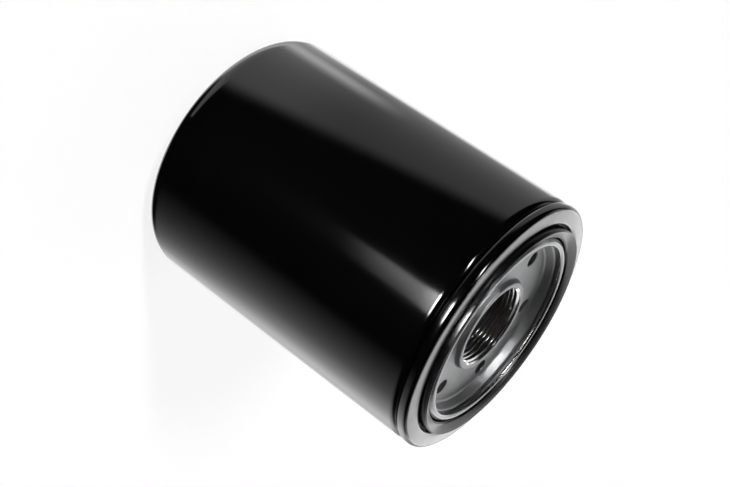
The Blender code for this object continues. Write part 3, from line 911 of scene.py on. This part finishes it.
@dataclass
class ThreadPlate:
    """The thread plate: tapped collar, inlet holes and the rim that stands in the lid's curl."""

    housing: Housing
    drop: float = 0.0048
    thickness: float = 0.0030
    wall_shelf: float = 0.0005
    wall_run: float = 0.0017
    wall_fillet: float = 0.0012
    flange_inset: float = 0.0012
    collar_proud: float = 0.0022
    collar_crest: float = 0.0157
    collar_foot: float = 0.0172
    collar_length: float = 0.0086
    collar_outer: float = 0.0180
    thread_radius: float = 0.0150
    thread_pitch: float = 0.0015
    thread_depth: float = 0.00081
    thread_crest: float = 0.00019
    thread_root: float = 0.00012
    mouth_chamfer: float = 0.0005
    holes: int = 6
    hole_radius: float = 0.0027
    hole_pitch_radius: float = 0.0255
    hole_start: float = -2.0
    hole_chamfer: float = 0.0002
    thread_facets: int = 96
    thread_turn: float = 1.7

    def __post_init__(self) -> None:
        """Works out the plate's heights."""
        self.face = self.housing.height - self.drop
        self.back = self.face - self.thickness
        self.collar_top = self.face + self.collar_proud
        self.collar_end = self.collar_top - self.collar_length

    def section(self) -> list[Vector]:
        """The plate's outline, before it is tapped and pierced.

        Returns:
            The closed outline, as (radius, height).
        """
        house = self.housing
        half = house.lid_wall / 2
        bore = self.thread_radius - self.thread_depth
        mouth = self.mouth_chamfer
        rim_inner = house.lip_inner + half + house.gap
        rim_outer = house.channel_inner - half - house.gap
        rim_top = house.height - house.lid_wall - house.gap
        flange_top = house.channel_floor - house.lid_wall - house.gap
        flange = house.channel_outer - self.flange_inset
        wall_top = house.height - house.lip_drop - house.gap
        crest = house.lip_inner - self.wall_shelf
        wall_crest = (wall_top - self.face) / 3
        collar_step = self.collar_proud / 3
        return rounded(
            [
                (rim_inner, rim_top),
                (rim_outer, rim_top),
                (rim_outer, flange_top),
                (flange, flange_top),
                (flange, self.back),
                (self.collar_outer, self.back, house.fold_fillet),
                (self.collar_outer, self.collar_end),
                (bore + mouth, self.collar_end),
                (bore, self.collar_end + mouth),
                (bore, self.collar_top - 2 * mouth),
                (bore + mouth, self.collar_top - mouth),
                (self.collar_crest - mouth, self.collar_top, mouth),
                (self.collar_foot - mouth, self.collar_top, collar_step),
                (self.collar_foot, self.face, collar_step),
                (crest - self.wall_run, self.face, self.wall_fillet),
                (crest, wall_top, wall_crest),
                (rim_inner, wall_top),
            ],
            closed=True,
            arc_step=9.0,
        )

    def thread_tap(self) -> bpy.types.Object:
        """The groove of the right-hand thread, past both ends of the collar.

        Returns:
            The tap, closed at both ends.
        """
        turns = math.ceil(self.collar_length / self.thread_pitch) + 1
        over = self.thread_depth / 12
        inner = self.thread_radius - self.thread_depth - over
        start = self.collar_end - self.thread_pitch / 2
        mouth = (self.thread_pitch - self.thread_crest) / 2
        root = self.thread_root / 2
        mouth += (mouth - root) * over / self.thread_depth
        mesh = bmesh.new()
        corners = ((inner, -mouth), (self.thread_radius, -root), (self.thread_radius, root), (inner, mouth))
        verts = [mesh.verts.new((x, 0.0, start + z)) for x, z in corners]
        edges = [mesh.edges.new(pair) for pair in zip(verts, verts[1:] + verts[:1])]
        bmesh.ops.spin(
            mesh,
            geom=verts + edges,
            cent=ORIGIN,
            axis=UP,
            dvec=(0.0, 0.0, self.thread_pitch / self.thread_facets),
            angle=math.tau * turns,
            steps=self.thread_facets * turns,
        )
        bmesh.ops.holes_fill(mesh, edges=mesh.edges, sides=0)
        turn = Matrix.Rotation(math.radians(self.thread_turn), 4, "Z")
        bmesh.ops.transform(mesh, matrix=turn, verts=mesh.verts)
        bmesh.ops.recalc_face_normals(mesh, faces=mesh.faces)
        return made_object("thread_tap", mesh)

    def hole_drill(self, index: int) -> bpy.types.Object:
        """A drill for one inlet hole, with a chamfer at the plate's face.

        Args:
            index: which hole, from 0.

        Returns:
            The drill, in place.
        """
        over = self.thickness / 2
        angle = math.radians(self.hole_start) + math.tau * index / self.holes
        corners = (
            (0.0, self.face + over),
            (self.hole_radius + self.hole_chamfer + over, self.face + over),
            (self.hole_radius, self.face - self.hole_chamfer),
            (self.hole_radius, self.back - over),
            (0.0, self.back - over),
        )
        mesh = turned(corners, False, Detail.DRILL)
        offset = Vector((math.cos(angle), math.sin(angle), 0.0)) * self.hole_pitch_radius
        bmesh.ops.translate(mesh, vec=offset, verts=mesh.verts)
        return made_object(f"hole_drill_{index}", mesh)

    def build(self, shop: Workshop) -> None:
        """Turns the plate, taps and pierces it, and fits it.

        Args:
            shop: the workshop.
        """
        plate = made_object("thread_plate", turned(self.section(), True, Detail.SHOWN))
        cut(plate, [self.thread_tap(), *(self.hole_drill(index) for index in range(self.holes))])
        shop.fit(plate, Body.HOUSING, Slot.PLATE_STEEL, "base_plate")


@dataclass
class CoilSpring:
    """A compression spring of round wire, between the two bodies that it presses apart."""

    node: str
    bodies: tuple[Body, Body]
    wire: float
    radii: tuple[float, float]
    turns: float
    wire_facets: int = 16
    turn_facets: int = 48

    def make(self, reach: tuple[float, float]) -> bpy.types.Object:
        """Winds the wire up a helix that narrows evenly.

        Args:
            reach: the heights of the wire's middle at the foot and at the top.

        Returns:
            The coil, closed at both ends.
        """
        steps = round(self.turns * self.turn_facets)
        climb = (reach[1] - reach[0]) / steps
        narrowing = (self.radii[0] - self.radii[1]) / steps
        mesh = bmesh.new()
        bmesh.ops.create_circle(mesh, segments=self.wire_facets, radius=self.wire / 2)
        foot = Matrix.Translation((self.radii[0], 0.0, reach[0])) @ Matrix.Rotation(math.pi / 2, 4, "X")
        bmesh.ops.transform(mesh, matrix=foot, verts=mesh.verts)
        end: list[Any] = mesh.verts[:] + mesh.edges[:]
        for step in range(1, steps + 1):
            end = bmesh.ops.spin(
                mesh,
                geom=end,
                cent=ORIGIN,
                axis=UP,
                dvec=(0.0, 0.0, climb),
                angle=math.tau / self.turn_facets,
                steps=1,
            )["geom_last"]
            angle = math.tau * step / self.turn_facets
            inward = Vector((-math.cos(angle), -math.sin(angle), 0.0)) * narrowing
            ring = [part for part in end if isinstance(part, bmesh.types.BMVert)]
            bmesh.ops.translate(mesh, verts=ring, vec=inward)
        bmesh.ops.holes_fill(mesh, edges=mesh.edges, sides=0)
        bmesh.ops.recalc_face_normals(mesh, faces=mesh.faces)
        return made_object(f"coiled_{self.node}", mesh)

    def build(self, shop: Workshop) -> None:
        """Makes the spring as high as its node and fits it.

        Args:
            shop: the workshop.
        """
        low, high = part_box(self.node)
        reach = (low[2] + self.wire / 2, high[2] - self.wire / 2)
        shop.stretch(self.make(reach), self.bodies, reach, Slot.SPRING_STEEL, self.node)


# ---------------------------------------------------------------- the studio


def smooth(value: float, low: float, high: float) -> float:
    """Rises smoothly from 0 at the low value to 1 at the high one."""
    share = min(1.0, max(0.0, (value - low) / (high - low)))
    return share * share * (3.0 - 2.0 * share)


@dataclass(frozen=True)
class SoftBox:
    """A soft light on the studio's shell.

    Angles are in degrees: azimuths from the far side of the filter, elevations from the horizon.
    """

    azimuth: tuple[float, float]
    elevation: tuple[float, float]
    glow: tuple[float, float]
    blur: tuple[float, float] = (4.0, 4.0)
    bend: float = 1.0
    lean: float = 0.0
    lean_from: float = -18.0

    def light(self, azimuth: float, elevation: float) -> float:
        """The brightness that the box adds in a direction.

        Args:
            azimuth: the direction's azimuth.
            elevation: the direction's elevation.

        Returns:
            The brightness, where 1 is white.
        """
        (left, right), (low, high) = self.azimuth, self.elevation
        right -= self.lean * (elevation - self.lean_from)
        side, rise = self.blur
        share = smooth(azimuth, left - side, left + side) * smooth(-azimuth, -right - side, side - right)
        share *= smooth(elevation, low - rise, low + rise) * smooth(-elevation, -high - rise, rise - high)
        across = min(1.0, max(0.0, (azimuth - left) / (right - left))) ** self.bend
        return share * (self.glow[0] + (self.glow[1] - self.glow[0]) * across)


def blank(owner: bpy.types.Material | bpy.types.World) -> Graph:
    """Switches on a material's or a world's nodes and empties them.

    Args:
        owner: the material or the world.

    Returns:
        Its node tree.
    """
    owner.use_nodes = True
    owner.node_tree.nodes.clear()
    return Graph(owner.node_tree)


@dataclass
class Studio:
    """Camera, pale floor, white world, and a shell that carries the soft boxes."""

    lens: float = 64.9
    camera_place: tuple[float, float, float] = (-0.00164, 0.41040, 0.24301)
    camera_right: tuple[float, float, float] = (0.57376, -0.33099, 0.74916)
    camera_up: tuple[float, float, float] = (0.81902, 0.23187, -0.52482)
    floor_radius: float = 2.5
    floor_facets: int = 96
    floor_colour: Colour = (0.3, 0.3, 0.3)
    floor_glow: float = 0.85
    shell_radius: float = 3.0
    shell_parts: tuple[int, int] = (300, 150)
    room: float = 0.008
    boxes: tuple[SoftBox, ...] = (
        SoftBox((-38.0, 28.0), (-70.0, -13.0), (1.1, 1.1), (8.0, 3.0)),
        SoftBox((-38.0, 28.0), (-13.0, 11.0), (0.6, 0.6), (8.0, 3.0)),
        SoftBox((-38.0, 28.0), (11.0, 18.0), (2.3, 2.3), (8.0, 3.0)),
        SoftBox((-50.0, 50.0), (20.0, 48.0), (0.95, 0.95), (10.0, 5.0)),
        SoftBox((-70.0, 60.0), (48.0, 72.0), (0.16, 0.16), (10.0, 6.0)),
        SoftBox((18.0, 106.0), (-70.0, 12.0), (0.55, 0.62), (8.0, 8.0), lean=2.0),
        SoftBox((25.0, 104.0), (-70.0, -29.0), (0.4, 0.4), (8.0, 3.0), lean=2.0),
        SoftBox((52.0, 66.0), (-70.0, -26.0), (1.35, 1.35), (8.0, 2.2)),
        SoftBox((-118.0, -38.0), (-32.0, 8.0), (0.0, 2.0), (10.0, 12.0), bend=1.3),
        SoftBox((-72.0, -30.0), (-25.0, 8.0), (0.25, 0.25), (8.0, 6.0)),
        SoftBox((-177.0, -160.0), (-13.5, 7.0), (80.0, 25.0), (1.5, 1.5)),
        SoftBox((-176.0, -160.0), (-20.0, -12.0), (2.5, 0.5), (2.0, 2.5)),
        SoftBox((140.0, 146.0), (40.0, 56.0), (66.0, 66.0), (2.0, 3.0)),
        SoftBox((30.0, 40.0), (68.0, 74.0), (16.0, 16.0), (3.0, 3.0)),
    )

    def make_camera(self) -> None:
        """Places the camera."""
        data = bpy.data.cameras.new("camera")
        data.lens = self.lens
        camera = bpy.data.objects.new("camera", data)
        right, up = Vector(self.camera_right), Vector(self.camera_up)
        turn = Matrix((right, up, right.cross(up))).transposed().to_4x4()
        camera.matrix_world = Matrix.Translation(self.camera_place) @ turn
        bpy.context.scene.collection.objects.link(camera)
        bpy.context.scene.camera = camera

    def make_world(self) -> None:
        """Makes the white surroundings, which the camera and clear or glossy surfaces see."""
        world = bpy.data.worlds.new("white_surroundings")
        graph = blank(world)
        rays = graph.add("LightPath").outputs
        seen = graph.calc(
            "MAXIMUM",
            rays["Is Camera Ray"],
            graph.calc("MAXIMUM", rays["Is Glossy Ray"], rays["Is Transmission Ray"]),
        )
        background = graph.add("Background", {"Color": WHITE, "Strength": seen})
        graph.add("OutputWorld", {"Surface": background.outputs[0]})
        bpy.context.scene.world = world

    def make_floor(self) -> None:
        """Makes the pale floor, which keeps a soft shadow and is clear from below."""
        mesh = bmesh.new()
        bmesh.ops.create_circle(mesh, cap_ends=True, segments=self.floor_facets, radius=self.floor_radius)
        floor = made_object("studio_floor", mesh)
        for ray in ("diffuse", "glossy", "transmission", "shadow"):
            setattr(floor, f"visible_{ray}", False)
        material = bpy.data.materials.new("pale_floor")
        graph = blank(material)
        matt = graph.add("BsdfDiffuse", {"Color": (*self.floor_colour, 1.0)}).outputs[0]
        lit = graph.add("Emission", {"Color": WHITE, "Strength": self.floor_glow}).outputs[0]
        pale = graph.add("AddShader", {0: matt, 1: lit}).outputs[0]
        clear = graph.add("BsdfTransparent").outputs[0]
        under = graph.add("NewGeometry").outputs["Backfacing"]
        surface = graph.add("MixShader", {0: under, 1: pale, 2: clear}).outputs[0]
        graph.add("OutputMaterial", {"Surface": surface})
        floor.data.materials.append(material)

    def light(self, place: Vector) -> float:
        """The shell's brightness at one of its points.

        Args:
            place: the point.

        Returns:
            The brightness, where 1 is white.
        """
        away = place.normalized()
        azimuth = math.degrees(math.atan2(away.x, -away.y))
        elevation = math.degrees(math.asin(max(-1.0, min(1.0, away.z))))
        return self.room + sum(box.light(azimuth, elevation) for box in self.boxes)

    def make_shell(self) -> None:
        """Makes the shell of lights round the stand, out of the camera's sight."""
        mesh = bmesh.new()
        around, upward = self.shell_parts
        bmesh.ops.create_uvsphere(mesh, u_segments=around, v_segments=upward, radius=self.shell_radius)
        layer = mesh.verts.layers.float.new("light")
        for vert in mesh.verts:
            vert[layer] = self.light(vert.co)
        shell = made_object("studio_shell", mesh)
        shell.visible_camera = False
        shell.visible_shadow = False
        material = bpy.data.materials.new("soft_boxes")
        graph = blank(material)
        strength = graph.add("Attribute", attribute_name="light").outputs["Fac"]
        lit = graph.add("Emission", {"Color": WHITE, "Strength": strength})
        graph.add("OutputMaterial", {"Surface": lit.outputs[0]})
        shell.data.materials.append(material)

    def build(self) -> None:
        """Sets up the camera, the light and the view."""
        self.make_camera()
        self.make_world()
        self.make_floor()
        self.make_shell()
        bpy.context.scene.view_settings.view_transform = "Standard"
        LOG.info("studio: camera, floor, world and %d soft boxes", len(self.boxes))


def main() -> None:
    """Builds the studio and the filter, piece by piece."""
    logging.basicConfig(level=logging.INFO, format="%(name)s: %(message)s", stream=sys.stdout)
    Studio().build()
    shop = Workshop()
    housing = Housing()
    housing.build(shop)
    Gasket(housing).build(shop)
    ThreadPlate(housing).build(shop)
    CoilSpring(
        node="element_spring",
        bodies=(Body.HOUSING, Body.ELEMENT),
        wire=0.0020,
        radii=(0.0240, 0.0165),
        turns=2.75,
    ).build(shop)
    CoilSpring(
        node="bypass_spring",
        bodies=(Body.BYPASS_POPPET, Body.ELEMENT),
        wire=0.0010,
        radii=(0.0048, 0.0048),
        turns=4.5,
    ).build(shop)
    kept = {
        "anti_drainback_valve": Slot.VALVE_RUBBER,
        "upper_end_cap": Slot.PLATE_STEEL,
        "lower_end_cap": Slot.PLATE_STEEL,
        "upper_bond": Slot.PLASTISOL,
        "lower_bond": Slot.PLASTISOL,
        "centre_tube": Slot.PLATE_STEEL,
        "pleated_media": Slot.FILTER_PAPER,
        "media_seam_clip": Slot.PLATE_STEEL,
        "bypass_valve_cage": Slot.PLATE_STEEL,
        "bypass_valve_disc": Slot.PLATE_STEEL,
        "bypass_valve_seal": Slot.VALVE_RUBBER,
        "element_spring_seat": Slot.SPRING_STEEL,
    }
    for node, slot in kept.items():
        shop.dress_node(node, slot)


if __name__ == "__main__":
    main()
